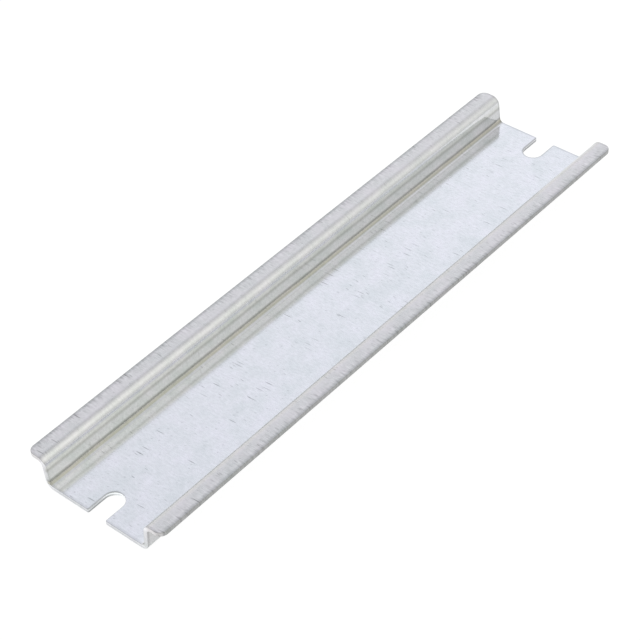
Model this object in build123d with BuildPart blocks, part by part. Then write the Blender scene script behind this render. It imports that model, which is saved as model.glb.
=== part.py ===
from build123d import *
from math import radians, tan
import os

# A short length of top-hat mounting rail: one steel strip with a screw slot punched in each end.
# Sizes are in millimetres. X runs across the rail, Y along it, and Z up from the surface it lies on.
# The origin is in the middle of the underside of the floor.

# Hat section, as the strip leaves the rolls
rail_length = 142.0
rail_width = 35.0
rail_height = 7.3
brim_width = 3.7  # of each brim, measured from the outside of its wall
sheet_thickness = 1.0
floor_bend_radius = 1.0
brim_bend_radius = 1.0
wall_lean = 4.5  # degrees that each wall springs back outwards

# Punched and cut edges
slot_width = 4.5
slot_depth = 6.8
mouth_corner_radius = 0.35
brim_corner_radius = 1.7
edge_round = 0.15


def underside_line():
    # The lower skin of the strip, from one brim's edge to the other, bent four times.
    # A bend's radius is on its hollow side: below the strip at the brims, above it at the floor.
    # A wall's place is given at the brim, and its foot stands further in by the lean.
    brim_level = rail_height - sheet_thickness
    edge = rail_width / 2
    wall = edge - brim_width
    foot = wall - brim_level * tan(radians(wall_lean))
    floor_bend_outside = floor_bend_radius + sheet_thickness
    return FilletPolyline(
        (-edge, brim_level),
        (-wall, brim_level),
        (-foot, 0),
        (foot, 0),
        (wall, brim_level),
        (edge, brim_level),
        radius=[brim_bend_radius, floor_bend_outside, floor_bend_outside, brim_bend_radius],
    )


with BuildPart() as rail:
    # The strip is as thick everywhere as it is flat: its upper skin runs beside the lower one.
    with BuildSketch(Plane.XZ) as section:
        with BuildLine() as skins:
            underside_line()
            offset(amount=sheet_thickness, side=Side.LEFT)
        make_face()
    extrude(amount=rail_length / 2, both=True)

    # The punch takes the sharp corners off the brims.
    upright_edges = rail.edges().filter_by(Axis.Z).group_by(Axis.X)
    fillet(upright_edges[0] + upright_edges[-1], radius=brim_corner_radius)

    # A screw slot runs in from the middle of each end, to a round inner end.
    with BuildSketch() as end_slots:
        with GridLocations(0, rail_length, 1, 2):
            SlotOverall(2 * slot_depth, slot_width, rotation=90)
    extrude(amount=sheet_thickness, both=True, mode=Mode.SUBTRACT)

    # The corners of each slot's mouth are eased.
    slot_edges = rail.edges(Select.LAST).filter_by(Axis.Z).group_by(Axis.Y)
    fillet(slot_edges[0] + slot_edges[-1], radius=mouth_corner_radius)

    # Every cut edge is slightly rounded, above and below. The lines where a bend starts or stops lie
    # between the slots and the brims' edges and aren't cut, and the upright corners are round already.
    bend_lines = rail.edges().filter_by(Axis.Y).filter_by(
        lambda line: slot_width / 2 + edge_round < abs(line.center().X) < rail_width / 2 - edge_round
    )
    cut_edges = rail.edges() - rail.edges().filter_by(Axis.Z) - bend_lines
    fillet(cut_edges, radius=edge_round)

rail.part.label = "rail"
os.makedirs("parts", exist_ok=True)
export_step(rail.part, "parts/rail.step")
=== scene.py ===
import bmesh
import bpy
import math
from mathutils import Matrix, Vector


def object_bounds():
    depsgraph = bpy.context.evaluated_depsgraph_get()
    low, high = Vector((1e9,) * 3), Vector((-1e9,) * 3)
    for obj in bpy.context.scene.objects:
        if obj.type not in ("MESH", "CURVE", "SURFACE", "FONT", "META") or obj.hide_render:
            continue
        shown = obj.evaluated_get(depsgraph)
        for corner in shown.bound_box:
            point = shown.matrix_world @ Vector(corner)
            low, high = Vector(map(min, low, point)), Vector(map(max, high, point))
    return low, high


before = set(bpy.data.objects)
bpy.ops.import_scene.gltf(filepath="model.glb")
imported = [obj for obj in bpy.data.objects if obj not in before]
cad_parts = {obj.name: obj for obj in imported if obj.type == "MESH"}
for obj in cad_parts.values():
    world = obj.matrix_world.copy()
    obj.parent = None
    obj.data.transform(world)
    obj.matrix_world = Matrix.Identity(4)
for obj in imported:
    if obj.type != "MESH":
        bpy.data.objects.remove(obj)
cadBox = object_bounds()
mm = 0.001
halfWidth, halfLength = cadBox[1][0] / mm, cadBox[1][1] / mm
print("frame loaded:", ", ".join(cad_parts))


def hexColor(code):  # sRGB hex to linear, with alpha 1
    parts = [int(code[i:i + 2], 16) / 255 for i in (1, 3, 5)]
    return tuple(c / 12.92 if c <= 0.04045 else ((c + 0.055) / 1.055) ** 2.4 for c in parts) + (1.0,)


def addNode(tree, kind, inputs=None, **settings):  # a node or a socket is linked, a value is set
    node = tree.nodes.new(kind)
    for name, value in settings.items():
        setattr(node, name, value)
    for name, value in (inputs or {}).items():
        source = value.outputs[0] if isinstance(value, bpy.types.Node) else value
        if isinstance(source, bpy.types.NodeSocket):
            tree.links.new(source, node.inputs[name])
        else:
            node.inputs[name].default_value = source
    return node


def placeStops(ramp, stops):  # stops run from low to high: (position, linear color)
    elements = ramp.color_ramp.elements
    while len(elements) > 1:
        elements.remove(elements[-1])
    for index, (position, color) in enumerate(stops):
        stop = elements[0] if index == 0 else elements.new(position)
        stop.position = position
        stop.color = color


def newMaterial(name):
    material = bpy.data.materials.new(name)
    material.use_nodes = True
    material.node_tree.nodes.clear()
    return material, material.node_tree


photoCamera = {
    "aim": (-2.47, -3.99, 0.0),  # mm, where the lens points
    "azimuth": 42.93,            # degrees from +Y towards -X
    "elevation": 42.27,          # degrees down
    "roll": -3.82,
    "distance": 415.6,           # mm from the aim
    "focalPixels": 2032.8,       # focal length in pixels of the photograph
    "frameWidth": 640,           # pixels
}


def makeCamera(values):
    azimuth, elevation, roll = (math.radians(values[k]) for k in ("azimuth", "elevation", "roll"))
    ahead = Vector((-math.sin(azimuth) * math.cos(elevation),
                    math.cos(azimuth) * math.cos(elevation),
                    -math.sin(elevation)))
    level = Vector((math.cos(azimuth), math.sin(azimuth), 0))
    above = level.cross(ahead)
    right = level * math.cos(roll) + above * math.sin(roll)
    up = above * math.cos(roll) - level * math.sin(roll)
    place = Vector(values["aim"]) * mm - ahead * values["distance"] * mm
    lens = bpy.data.cameras.new("photoCamera")
    lens.lens = values["focalPixels"] / values["frameWidth"] * lens.sensor_width
    lens.clip_start = 0.01
    camera = bpy.data.objects.new("photoCamera", lens)
    camera.matrix_world = Matrix.Translation(place) @ Matrix((right, up, -ahead)).transposed().to_4x4()
    bpy.context.scene.collection.objects.link(camera)
    bpy.context.scene.camera = camera


makeCamera(photoCamera)
print("camera placed")


# Cold-rolled steel strip with a thin coat of clear-passivated zinc, plated after it was formed and punched.
# To the eye it is a pale, slightly blue metal with a soft sheen. It is duller on the brims, where the rolls
# rubbed it. The tints multiply the color: the clouds are the coat's own tone, while the tints across the
# sheet and along the walls, and the darkening round the cuts and on the walls' outer sides, are mostly
# painted shade, painted highlights and painted reflections. They are round values.
zinc = {
    "color": "#F6F7F9",          # the metal at its palest, kept on the bends as a painted highlight
    "roughness": 0.13,
    "brimRoughness": 0.28,
    "brimSpan": (12.75, 13.1),   # mm from the middle: where the brim's roughness starts, and is full
    "floorTop": 1.0,             # mm above the underside
    "bump": (0.35, 0.02),        # strength, and mm deep
    "grain": {                   # the rolled strip's, drawn far coarser than its few hundredths of a mm
        "size": (1.15, 0.46),    # mm across the rail and along it
        "detail": 3.0,
        "roughness": 0.6,
        "span": (0.25, 0.75),    # of the noise
        "shade": (0.936, 1.058),
        "relief": 0.35,          # of a scratch's
    },
    "clouds": {                  # in the coat, a little greener or pinker than the rest
        "size": 5.0,             # mm
        "detail": 4.0,
        "roughness": 0.62,
        "tints": [(0.3, "#F3F5F4"), (0.5, "#FAFAFA"), (0.7, "#FFFDFF")],
        "dulling": 0.08,         # the most that they change the metal's roughness
    },
    "strokes": [                 # scratches: mm long and wide, share of cells, degrees off straight across
        {"cell": (9.0, 1.0), "size": 0.15, "share": 0.14, "turn": 4, "depth": 0.48},
        {"cell": (4.5, 1.1), "size": 0.15, "share": 0.15, "turn": -6, "depth": 0.34},
        {"cell": (1.7, 1.0), "size": 0.2, "share": 0.25, "turn": 15, "depth": 0.18},
    ],
    "ticks": {"cell": (2.6, 0.8), "size": 0.36, "share": 0.7, "turn": 2, "depth": 0.24},  # the rolls' marks
    "strokeCore": 0.35,          # share of a stroke's size that is darkest
    "faintest": 0.35,            # the faintest stroke, as a share of the depth
    "tickSpan": (14.9, 16.6),    # mm from the middle: no marks of the rolls, all of them
    "tickStreaks": {"cell": (2.4, 0.3), "detail": 2.0, "span": (0.3, 0.7), "shade": (0.9, 1.09)},
    "bendSpan": (11.4, 11.9, 13.6, 14.3),  # mm from the middle: the bends and walls, with fewer scratches
    "bendStrokes": 0.3,                    # how strong the scratches are there
    "farStrokes": (-30, 55, 0.65),         # mm along the rail: full strength, weakest, and how weak
    "sheetTintsAndShade": [              # mm from the middle, tint: mostly painted shade and highlight, with the brims' real rubbing
        (10.0, "#F4F5F6"),       # the plain floor
        (11.6, "#FFFFFF"),       # bends left pale: painted highlight
        (13.4, "#FFFFFF"),
        (14.2, "#EAE8E6"),       # rubbed brim, its darker tint painted shade
        (16.6, "#E6E4E2"),
        (17.4, "#C0C0BE"),       # its rounded cut edge, darkened as painted shade
    ],
    "wallShadeAndReflections": [               # mm above the underside, tint: painted shade and painted reflections along the walls
        (1.0, "#FFFFFF"),
        (1.2, "#C0C0B8"),        # dark line in the hollow bend: painted shade
        (1.5, "#E8E4D4"),        # warm line between: painted reflection
        (1.9, "#B0B0AC"),        # second dark line: painted shade
        (2.5, "#F0F0F0"),        # the plain wall
        (3.9, "#F4F4F4"),
        (4.6, "#D4D4D0"),        # dark line: painted reflection
        (5.2, "#F8F8F4"),
        (6.0, "#FFFFFF"),
    ],
    "wallSpan": (11.0, 11.4, 12.8, 13.1),  # mm from the middle: the painted bands fade in, full, full, fade out
    "rightWall": 0.15,                     # share of the painted bands that the right wall gets
    "wander": {                  # the painted bands' lines aren't quite straight
        "length": 14.0,          # mm along the rail
        "height": 0.15,          # mm up and down the wall
        "rise": 0.5,             # mm above the floor, where they start to wander
        "detail": 2.0,
    },
    "farEnd": (62, 66, 0.94),    # mm along the rail: the walls' last stretch is darker
    "outerFacing": (0.2, 0.6),   # how far outwards a face points: not a wall's outer side, fully one
    "outerDepth": (0.1, 0.2),    # painted shade on the walls' outer sides under the brims, and more next to their ends
    "outerEdge": (0.8, 0.4),     # mm from the end
    # The cuts were made by a punch before plating. Round each is a dark line, painted shade of its rounded
    # edge.
    # The ends' faces have a thin line between sheared and torn, and the slots' straight sides are darker low
    # down.
    "cuts": {
        "slotWidth": 4.5,            # mm
        "slotDepth": 6.8,            # mm from the rail's end
        "endFacing": 0.9,            # a face that points further along the rail than this is an end's
        "slotFacing": 0.2,           # and one by a slot that points less up than this is the slot's
        "faceRoughness": 0.3,
        "endReach": (0.65, 0.3),     # mm from the end: no painted edge shade, all of it
        "endDark": (0.12, 0.19),     # how dark the painted edge shade is: near end, far end
        "slotReach": (0.35, 0.2),    # mm from the slot
        "slotDark": 0.28,
        "slotSide": (-1.8, 0.8, 0.15),   # mm from the middle: all of the near slot's painted edge shade, this share
        "lowSideHeight": (0.6, 0.4),    # mm above the underside: below this, the slots' straight sides are darker
        "lowSideDark": 0.45,
        "tearHeight": 0.45,          # mm above the underside: the ends' thin line between sheared and torn
        "tearReach": (0.16, 0.05),   # mm
        "tearDark": 0.16,
        "wallEnd": (1.0, 1.8, 5.7, 6.2),  # mm above the underside: the walls' cut ends get painted shade in between
        "wallEndDark": 0.15,
    },
}


def findPlaces(tree, values):  # where a point is, in mm, which way it faces, and its place on the skin
    coords = addNode(tree, "ShaderNodeTexCoord")
    point = addNode(tree, "ShaderNodeVectorMath", {0: coords.outputs["Object"], "Scale": 1 / mm},
                    operation="SCALE")
    x, y, z = addNode(tree, "ShaderNodeSeparateXYZ", {0: point}).outputs
    side = addNode(tree, "ShaderNodeMath", {0: x}, operation="SIGN")
    # the skin is the sheet laid flat: a pattern runs on from the floor up the walls and over the brims
    climb = addNode(tree, "ShaderNodeMath", {0: z, 1: values["floorTop"]}, operation="SUBTRACT")
    climb = addNode(tree, "ShaderNodeMath", {0: climb, 1: 0.0}, operation="MAXIMUM")
    across = addNode(tree, "ShaderNodeMath", {0: side, 1: climb, 2: x}, operation="MULTIPLY_ADD")
    return {
        "x": x,
        "y": y,
        "z": z,
        "side": side,
        "fromMiddle": addNode(tree, "ShaderNodeMath", {0: x}, operation="ABSOLUTE"),
        "onRight": addNode(tree, "ShaderNodeMath", {0: x, 1: 0.0}, operation="GREATER_THAN"),
        "onFarHalf": addNode(tree, "ShaderNodeMath", {0: y, 1: 0.0}, operation="GREATER_THAN"),
        "normal": coords.outputs["Normal"],
        "skin": addNode(tree, "ShaderNodeCombineXYZ", {0: across, 1: y}),
    }


def addStrokes(tree, skin, values, layer):  # short marks that lie across the rail, one to a cell at most
    place = addNode(tree, "ShaderNodeMapping", {
        "Vector": skin,
        "Rotation": (0, 0, math.radians(layer["turn"])),
        "Scale": (*layer["cell"], 1),
    }, vector_type="TEXTURE")
    cells = addNode(tree, "ShaderNodeTexVoronoi", {"Vector": place, "Scale": 1.0}, voronoi_dimensions="2D")
    shape = addNode(tree, "ShaderNodeMapRange", {
        "Value": cells.outputs["Distance"],
        "From Min": layer["size"],
        "From Max": layer["size"] * values["strokeCore"],
        "To Max": layer["depth"],
    }, interpolation_type="SMOOTHSTEP")
    draw = addNode(tree, "ShaderNodeSeparateColor", {0: cells.outputs["Color"]})
    picked = addNode(tree, "ShaderNodeMath", {0: draw.outputs[0], 1: layer["share"]}, operation="LESS_THAN")
    weight = addNode(tree, "ShaderNodeMapRange", {"Value": draw.outputs[1], "To Min": values["faintest"]})
    strength = addNode(tree, "ShaderNodeMath", {0: picked, 1: weight}, operation="MULTIPLY")
    return addNode(tree, "ShaderNodeMath", {0: shape, 1: strength}, operation="MULTIPLY")


def addScratches(tree, place, values):  # how unmarked the metal is, and the streaks on the brims
    fadeIn, full, fullEnd, fadeOut = values["bendSpan"]
    onBend = addNode(tree, "ShaderNodeMapRange", {
        "Value": place["fromMiddle"], "From Min": fadeIn, "From Max": full})
    offBend = addNode(tree, "ShaderNodeMapRange", {
        "Value": place["fromMiddle"], "From Min": fadeOut, "From Max": fullEnd})
    onBend = addNode(tree, "ShaderNodeMath", {0: onBend, 1: offBend}, operation="MULTIPLY")
    bendShare = addNode(tree, "ShaderNodeMapRange", {
        "Value": onBend, "To Min": 1.0, "To Max": values["bendStrokes"]})
    strong, weak, weakest = values["farStrokes"]
    farShare = addNode(tree, "ShaderNodeMapRange", {
        "Value": place["y"], "From Min": strong, "From Max": weak, "To Min": 1.0, "To Max": weakest})
    share = addNode(tree, "ShaderNodeMath", {0: bendShare, 1: farShare}, operation="MULTIPLY")

    noTicks, allTicks = values["tickSpan"]
    tickMask = addNode(tree, "ShaderNodeMapRange", {
        "Value": place["fromMiddle"], "From Min": noTicks, "From Max": allTicks})
    ticks = addStrokes(tree, place["skin"], values, values["ticks"])
    marks = addNode(tree, "ShaderNodeMath", {0: ticks, 1: tickMask}, operation="MULTIPLY")
    for layer in values["strokes"]:
        strokes = addStrokes(tree, place["skin"], values, layer)
        marks = addNode(tree, "ShaderNodeMath", {0: strokes, 1: share, 2: marks}, operation="MULTIPLY_ADD")
    unmarked = addNode(tree, "ShaderNodeMath", {0: 1.0, 1: marks}, operation="SUBTRACT", use_clamp=True)

    streaks = values["tickStreaks"]
    streakPlace = addNode(tree, "ShaderNodeMapping", {
        "Vector": place["skin"], "Scale": (*streaks["cell"], 1)}, vector_type="TEXTURE")
    noise = addNode(tree, "ShaderNodeTexNoise", {
        "Vector": streakPlace, "Scale": 1.0, "Detail": streaks["detail"]}, noise_dimensions="2D")
    streakShade = addNode(tree, "ShaderNodeMapRange", {
        "Value": noise,
        "From Min": streaks["span"][0],
        "From Max": streaks["span"][1],
        "To Min": streaks["shade"][0],
        "To Max": streaks["shade"][1],
    })
    return unmarked, addNode(tree, "ShaderNodeMix", {0: tickMask, 2: 1.0, 3: streakShade})


def addCuts(tree, place, values):  # how bright the cuts and the outer sides are, and where the cut faces are
    cuts = values["cuts"]
    x, y, z, farHalf = (place[k] for k in ("x", "y", "z", "onFarHalf"))
    slotRadius = cuts["slotWidth"] / 2
    slotMiddle = halfLength - cuts["slotDepth"] + slotRadius
    fromCentre = addNode(tree, "ShaderNodeMath", {0: y}, operation="ABSOLUTE")
    endGap = addNode(tree, "ShaderNodeMath", {0: halfLength, 1: fromCentre}, operation="SUBTRACT")
    pastSlot = addNode(tree, "ShaderNodeMath", {0: fromCentre, 1: slotMiddle}, operation="SUBTRACT")
    pastSlot = addNode(tree, "ShaderNodeMath", {0: pastSlot, 1: 0.0}, operation="MINIMUM")
    fromSlot = addNode(tree, "ShaderNodeCombineXYZ", {0: x, 1: pastSlot})
    fromSlot = addNode(tree, "ShaderNodeVectorMath", {0: fromSlot}, operation="LENGTH")
    slotGap = addNode(tree, "ShaderNodeMath", {0: fromSlot.outputs["Value"], 1: slotRadius},
                      operation="SUBTRACT")

    # painted shade along the cuts' rounded edges: a dark line round each
    endDark = addNode(tree, "ShaderNodeMapRange", {
        "Value": farHalf, "To Min": cuts["endDark"][0], "To Max": cuts["endDark"][1]})
    endEdgeShade = addNode(tree, "ShaderNodeMapRange", {
        "Value": endGap,
        "From Min": cuts["endReach"][0],
        "From Max": cuts["endReach"][1],
        "To Max": endDark,
    })
    slotEdgeShade = addNode(tree, "ShaderNodeMapRange", {
        "Value": slotGap,
        "From Min": cuts["slotReach"][0],
        "From Max": cuts["slotReach"][1],
        "To Max": cuts["slotDark"],
    })
    whole, little, leastShare = cuts["slotSide"]
    slotShare = addNode(tree, "ShaderNodeMapRange", {
        "Value": x, "From Min": whole, "From Max": little, "To Min": 1.0, "To Max": leastShare})
    slotShare = addNode(tree, "ShaderNodeMath", {0: slotShare, 1: farHalf}, operation="MAXIMUM")
    slotEdgeShade = addNode(tree, "ShaderNodeMath", {0: slotEdgeShade, 1: slotShare}, operation="MULTIPLY")

    # the cut faces
    facing = addNode(tree, "ShaderNodeVectorMath", {0: place["normal"]}, operation="ABSOLUTE")
    facingX, facingY, facingZ = addNode(tree, "ShaderNodeSeparateXYZ", {0: facing}).outputs
    endFace = addNode(tree, "ShaderNodeMath", {0: facingY, 1: cuts["endFacing"]}, operation="GREATER_THAN")
    slotFace = addNode(tree, "ShaderNodeMath", {0: facingZ, 1: cuts["slotFacing"]}, operation="LESS_THAN")
    bySlot = addNode(tree, "ShaderNodeMath", {0: slotEdgeShade, 1: 0.0}, operation="GREATER_THAN")
    slotFace = addNode(tree, "ShaderNodeMath", {0: slotFace, 1: bySlot}, operation="MULTIPLY")
    cutFace = addNode(tree, "ShaderNodeMath", {0: endFace, 1: slotFace}, operation="MAXIMUM")
    dark = addNode(tree, "ShaderNodeMath", {0: endEdgeShade, 1: slotEdgeShade}, operation="MAXIMUM")
    dark = addNode(tree, "ShaderNodeMath", {0: dark, 1: cutFace}, operation="SUBTRACT", use_clamp=True)

    # the darker lower part of the slots' straight sides
    lowSide = addNode(tree, "ShaderNodeMapRange", {
        "Value": z,
        "From Min": cuts["lowSideHeight"][0],
        "From Max": cuts["lowSideHeight"][1],
        "To Max": cuts["lowSideDark"],
    })
    lowSide = addNode(tree, "ShaderNodeMath", {0: lowSide, 1: facingX}, operation="MULTIPLY")
    dark = addNode(tree, "ShaderNodeMath", {0: lowSide, 1: slotFace, 2: dark}, operation="MULTIPLY_ADD")

    # the ends' cuts: the thin line between sheared and torn, and painted shade on the walls' ends
    fromTear = addNode(tree, "ShaderNodeMath", {0: z, 1: cuts["tearHeight"]}, operation="SUBTRACT")
    fromTear = addNode(tree, "ShaderNodeMath", {0: fromTear}, operation="ABSOLUTE")
    tear = addNode(tree, "ShaderNodeMapRange", {
        "Value": fromTear,
        "From Min": cuts["tearReach"][0],
        "From Max": cuts["tearReach"][1],
        "To Max": cuts["tearDark"],
    })
    low, rise, top, fall = cuts["wallEnd"]
    aboveFloor = addNode(tree, "ShaderNodeMapRange", {
        "Value": z, "From Min": low, "From Max": rise, "To Max": cuts["wallEndDark"]})
    underBrim = addNode(tree, "ShaderNodeMapRange", {"Value": z, "From Min": fall, "From Max": top})
    endDark = addNode(tree, "ShaderNodeMath", {0: aboveFloor, 1: underBrim, 2: tear},
                      operation="MULTIPLY_ADD")
    dark = addNode(tree, "ShaderNodeMath", {0: endDark, 1: endFace, 2: dark}, operation="MULTIPLY_ADD")

    # painted shade on the walls' outer sides, under the brims
    normalX = addNode(tree, "ShaderNodeSeparateXYZ", {0: place["normal"]})
    outward = addNode(tree, "ShaderNodeMath", {0: normalX, 1: place["side"]}, operation="MULTIPLY")
    outer = addNode(tree, "ShaderNodeMapRange", {
        "Value": outward, "From Min": values["outerFacing"][0], "From Max": values["outerFacing"][1]})
    outer = addNode(tree, "ShaderNodeMath", {0: outer, 1: underBrim}, operation="MULTIPLY")
    outerShade = addNode(tree, "ShaderNodeMapRange", {
        "Value": endGap,
        "From Min": values["outerEdge"][0],
        "From Max": values["outerEdge"][1],
        "To Min": values["outerDepth"][0],
        "To Max": values["outerDepth"][1],
    })
    dark = addNode(tree, "ShaderNodeMath", {0: outer, 1: outerShade, 2: dark}, operation="MULTIPLY_ADD")
    return addNode(tree, "ShaderNodeMath", {0: 1.0, 1: dark}, operation="SUBTRACT"), cutFace


def addSheetTintAndShade(tree, place, values):  # the tints, painted shade and painted highlight from the middle of the floor to the brims' edges
    width = addNode(tree, "ShaderNodeMath", {0: place["fromMiddle"], 1: halfWidth}, operation="DIVIDE")
    tint = addNode(tree, "ShaderNodeValToRGB", {0: width})
    placeStops(tint, [(distance / halfWidth, hexColor(code)) for distance, code in values["sheetTintsAndShade"]])
    return tint


def addWallShadeAndReflections(tree, place, values):  # the lines of painted shade and painted reflections along the walls
    wander = values["wander"]
    wave = addNode(tree, "ShaderNodeMath", {0: place["y"], 1: 1 / wander["length"]}, operation="MULTIPLY")
    wave = addNode(tree, "ShaderNodeTexNoise", {"W": wave, "Scale": 1.0, "Detail": wander["detail"]},
                   noise_dimensions="1D")
    wave = addNode(tree, "ShaderNodeMapRange", {
        "Value": wave, "To Min": -wander["height"], "To Max": wander["height"]})
    onWave = addNode(tree, "ShaderNodeMapRange", {
        "Value": place["z"],
        "From Min": values["floorTop"],
        "From Max": values["floorTop"] + wander["rise"],
    })
    height = addNode(tree, "ShaderNodeMath", {0: wave, 1: onWave, 2: place["z"]}, operation="MULTIPLY_ADD")
    wallTop = values["wallShadeAndReflections"][-1][0]
    height = addNode(tree, "ShaderNodeMath", {0: height, 1: wallTop}, operation="DIVIDE")
    # painted shade and painted reflections: dark lines and a warm line in the hollow bend, a dark line higher
    # up
    tint = addNode(tree, "ShaderNodeValToRGB", {0: height})
    placeStops(tint, [(level / wallTop, hexColor(code)) for level, code in values["wallShadeAndReflections"]])

    fadeIn, full, fullEnd, fadeOut = values["wallSpan"]
    onWall = addNode(tree, "ShaderNodeMapRange", {
        "Value": place["fromMiddle"], "From Min": fadeIn, "From Max": full})
    offWall = addNode(tree, "ShaderNodeMapRange", {
        "Value": place["fromMiddle"], "From Min": fadeOut, "From Max": fullEnd})
    wallMask = addNode(tree, "ShaderNodeMath", {0: onWall, 1: offWall}, operation="MULTIPLY")
    share = addNode(tree, "ShaderNodeMapRange", {
        "Value": place["onRight"], "To Min": 1.0, "To Max": values["rightWall"]})
    wallMask = addNode(tree, "ShaderNodeMath", {0: wallMask, 1: share}, operation="MULTIPLY")
    tint = addNode(tree, "ShaderNodeMix", {0: wallMask, 6: hexColor("#FFFFFF"), 7: tint},
                   data_type="RGBA").outputs[2]
    start, end, darkest = values["farEnd"]
    farEnd = addNode(tree, "ShaderNodeMapRange", {
        "Value": place["y"], "From Min": start, "From Max": end, "To Min": 1.0, "To Max": darkest})
    return tint, addNode(tree, "ShaderNodeMix", {0: wallMask, 2: 1.0, 3: farEnd})


def makeZinc(values):
    material, tree = newMaterial("clearPassivatedZincOnRolledSteel")
    place = findPlaces(tree, values)

    grain = values["grain"]
    grainPlace = addNode(tree, "ShaderNodeMapping", {"Vector": place["skin"], "Scale": (*grain["size"], 1)},
                         vector_type="TEXTURE")
    grainNoise = addNode(tree, "ShaderNodeTexNoise", {
        "Vector": grainPlace, "Scale": 1.0, "Detail": grain["detail"], "Roughness": grain["roughness"],
    }, noise_dimensions="2D")
    grainShade = addNode(tree, "ShaderNodeMapRange", {
        "Value": grainNoise,
        "From Min": grain["span"][0],
        "From Max": grain["span"][1],
        "To Min": grain["shade"][0],
        "To Max": grain["shade"][1],
    })
    clouds = values["clouds"]
    cloudNoise = addNode(tree, "ShaderNodeTexNoise", {
        "Vector": place["skin"],
        "Scale": 1 / clouds["size"],
        "Detail": clouds["detail"],
        "Roughness": clouds["roughness"],
    }, noise_dimensions="2D")
    cloudTint = addNode(tree, "ShaderNodeValToRGB", {0: cloudNoise})
    placeStops(cloudTint, [(level, hexColor(code)) for level, code in clouds["tints"]])

    unmarked, streakShade = addScratches(tree, place, values)
    cutShade, cutFace = addCuts(tree, place, values)
    sheetTintAndShade = addSheetTintAndShade(tree, place, values)
    wallPaintedLight, wallShade = addWallShadeAndReflections(tree, place, values)
    shade = unmarked
    for factor in (grainShade, streakShade, cutShade, wallShade):
        shade = addNode(tree, "ShaderNodeMath", {0: shade, 1: factor}, operation="MULTIPLY")
    color = addNode(tree, "ShaderNodeVectorMath", {0: hexColor(values["color"])[:3], 1: cloudTint},
                    operation="MULTIPLY")
    for factor in (sheetTintAndShade, wallPaintedLight):
        color = addNode(tree, "ShaderNodeVectorMath", {0: color, 1: factor}, operation="MULTIPLY")
    color = addNode(tree, "ShaderNodeVectorMath", {0: color, "Scale": shade}, operation="SCALE")

    roughness = addNode(tree, "ShaderNodeMapRange", {
        "Value": place["fromMiddle"],
        "From Min": values["brimSpan"][0],
        "From Max": values["brimSpan"][1],
        "To Min": values["roughness"],
        "To Max": values["brimRoughness"],
    })
    roughness = addNode(tree, "ShaderNodeMath", {0: cloudNoise, 1: clouds["dulling"], 2: roughness},
                        operation="MULTIPLY_ADD")
    roughness = addNode(tree, "ShaderNodeMath", {0: roughness, 1: clouds["dulling"] / 2},
                        operation="SUBTRACT")
    roughness = addNode(tree, "ShaderNodeMix", {0: cutFace, 2: roughness, 3: values["cuts"]["faceRoughness"]})

    relief = addNode(tree, "ShaderNodeMath", {0: grainNoise, 1: grain["relief"], 2: unmarked},
                     operation="MULTIPLY_ADD")
    strength, depth = values["bump"]
    bump = addNode(tree, "ShaderNodeBump", {"Strength": strength, "Distance": depth * mm, "Height": relief})
    shader = addNode(tree, "ShaderNodeBsdfPrincipled", {
        "Base Color": color,
        "Metallic": 1.0,
        "Roughness": roughness,
        "Normal": bump,
    })
    addNode(tree, "ShaderNodeOutputMaterial", {"Surface": shader})
    return material


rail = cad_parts["rail"]
rail.data.materials.clear()
rail.data.materials.append(makeZinc(zinc))
print("rail finished")


# White paper under the rail. The camera sees it as plain white. The metal mirrors it dimmer, because less
# light reaches it beside the rail, and brighter in front of the near end and in a spot under the near slot.
paper = {
    "halfSize": 2000,          # mm
    "gap": 0.05,               # mm under the rail
    "plain": "#F0F0F0",
    "seenDiffuse": "#808080",
    "seenGlow": 0.9,
    "mirroredDiffuse": "#C8C8C8",
    "mirroredGlow": 0.46,
    "frontGlow": 0.6,          # in front of the near end
    "front": (-69.0, -72.0),   # mm along the rail: where frontGlow starts, and where it is full
    "slotGlow": 1.05,
    "slotSpot": (0, -65.4),    # mm, the bright spot's middle
    "slotReach": (2.2, 1.2),   # mm from there: where slotGlow starts, and where it is full
}


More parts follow.
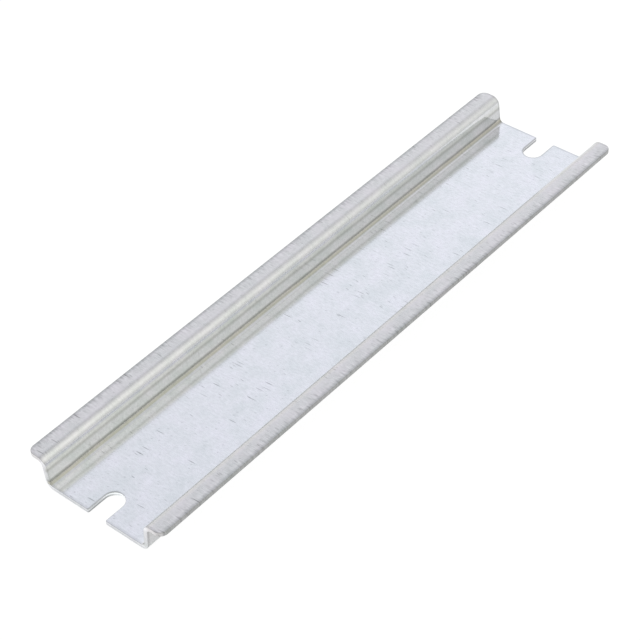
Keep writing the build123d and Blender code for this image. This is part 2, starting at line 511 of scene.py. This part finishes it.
def makeFloor(values):
    mesh = bpy.data.meshes.new("floor")
    sheet = bmesh.new()
    bmesh.ops.create_grid(sheet, x_segments=1, y_segments=1, size=values["halfSize"] * mm,
                          matrix=Matrix.Translation((0, 0, -values["gap"] * mm)))
    sheet.to_mesh(mesh)
    sheet.free()
    floor = bpy.data.objects.new("floor", mesh)
    bpy.context.scene.collection.objects.link(floor)

    material, tree = newMaterial("whitePaper")
    coords = addNode(tree, "ShaderNodeTexCoord")
    axes = addNode(tree, "ShaderNodeSeparateXYZ", {0: coords.outputs["Object"]})
    mirroredGlow = addNode(tree, "ShaderNodeMapRange", {
        "Value": axes.outputs[1],
        "From Min": values["front"][0] * mm,
        "From Max": values["front"][1] * mm,
        "To Min": values["mirroredGlow"],
        "To Max": values["frontGlow"],
    })
    spotX, spotY = values["slotSpot"]
    fromSpot = addNode(tree, "ShaderNodeVectorMath", {
        0: coords.outputs["Object"], 1: (spotX * mm, spotY * mm, 0)}, operation="DISTANCE")
    mirroredGlow = addNode(tree, "ShaderNodeMapRange", {
        "Value": fromSpot.outputs["Value"],
        "From Min": values["slotReach"][0] * mm,
        "From Max": values["slotReach"][1] * mm,
        "To Min": mirroredGlow.outputs[0],
        "To Max": values["slotGlow"],
    })
    path = addNode(tree, "ShaderNodeLightPath")
    mirrored = addNode(tree, "ShaderNodeMath", {
        0: path.outputs["Is Glossy Ray"], 1: path.outputs["Is Transmission Ray"]},
        operation="ADD", use_clamp=True)
    surface = addNode(tree, "ShaderNodeBsdfDiffuse", {"Color": hexColor(values["plain"])})
    for diffuse, glow, share in (
        ("mirroredDiffuse", mirroredGlow, mirrored),
        ("seenDiffuse", values["seenGlow"], path.outputs["Is Camera Ray"]),
    ):
        lit = addNode(tree, "ShaderNodeBsdfDiffuse", {"Color": hexColor(values[diffuse])})
        bright = addNode(tree, "ShaderNodeEmission", {"Color": hexColor("#FFFFFF"), "Strength": glow})
        both = addNode(tree, "ShaderNodeAddShader", {0: lit, 1: bright})
        surface = addNode(tree, "ShaderNodeMixShader", {0: share, 1: surface, 2: both})
    addNode(tree, "ShaderNodeOutputMaterial", {"Surface": surface})
    floor.data.materials.append(material)


# The studio: soft white panels to the left and the right, a dimmer gap above, and a dim room at their feet.
# Each row of a list is an angle round the rail, in degrees from the right horizon over the top to the left
# one, and the light from there in red, green and blue.
studio = {
    "nearPanels": [
        (0, 0.66, 0.66, 0.65), (18, 0.72, 0.72, 0.70), (36, 1.00, 1.00, 0.93), (60, 1.04, 1.04, 0.98),
        (74, 0.90, 0.90, 0.88), (90, 0.72, 0.73, 0.74), (106, 0.66, 0.67, 0.70), (120, 0.88, 0.90, 0.97),
        (134, 0.95, 0.96, 1.01), (150, 0.96, 0.96, 0.98), (165, 0.94, 0.94, 0.94),
    ],
    "farPanels": [
        (0, 0.66, 0.66, 0.66), (18, 0.70, 0.70, 0.69), (36, 0.80, 0.80, 0.77), (60, 0.80, 0.80, 0.79),
        (74, 0.80, 0.80, 0.80), (90, 0.79, 0.80, 0.82), (106, 0.86, 0.87, 0.90), (120, 1.01, 1.03, 1.10),
        (134, 1.04, 1.06, 1.11), (150, 0.98, 0.98, 1.00), (165, 0.94, 0.94, 0.94),
    ],
    "level": 0.945,
    "nearFar": (0.41, 0.65),     # how far a direction points along the rail, for each list
    "front": (-0.35, 0.10, 0.7),  # from, to, and the share of light from the photographer's side
}


def makeWorld(values):
    world = bpy.data.worlds.new("studio")
    world.use_nodes = True
    tree = world.node_tree
    tree.nodes.clear()
    coords = addNode(tree, "ShaderNodeTexCoord")
    toX, toY, toZ = addNode(tree, "ShaderNodeSeparateXYZ", {0: coords.outputs["Generated"]}).outputs
    height = addNode(tree, "ShaderNodeMath", {0: toZ}, operation="ABSOLUTE")
    angle = addNode(tree, "ShaderNodeMath", {0: height, 1: toX}, operation="ARCTAN2")
    turn = addNode(tree, "ShaderNodeMath", {0: angle, 1: math.pi}, operation="DIVIDE")
    panels = []
    for name in ("nearPanels", "farPanels"):
        panels.append(addNode(tree, "ShaderNodeValToRGB", {0: turn}))
        placeStops(panels[-1], [(degrees / 180, (*light, 1)) for degrees, *light in values[name]])
    near, far = values["nearFar"]
    along = addNode(tree, "ShaderNodeMapRange", {"Value": toY, "From Min": near, "From Max": far})
    light = addNode(tree, "ShaderNodeMix", {0: along, 6: panels[0], 7: panels[1]}, data_type="RGBA")
    back, front, share = values["front"]
    strength = addNode(tree, "ShaderNodeMapRange", {
        "Value": toY,
        "From Min": back,
        "From Max": front,
        "To Min": share * values["level"],
        "To Max": values["level"],
    })
    room = addNode(tree, "ShaderNodeBackground", {"Color": light.outputs[2], "Strength": strength})
    white = addNode(tree, "ShaderNodeBackground", {"Color": hexColor("#FFFFFF"), "Strength": 1.0})
    path = addNode(tree, "ShaderNodeLightPath")
    seen = addNode(tree, "ShaderNodeMixShader", {0: path.outputs["Is Camera Ray"], 1: room, 2: white})
    addNode(tree, "ShaderNodeOutputWorld", {"Surface": seen})
    bpy.context.scene.world = world


makeFloor(paper)
makeWorld(studio)
bpy.context.scene.view_settings.view_transform = "Standard"
print("stage and light set")
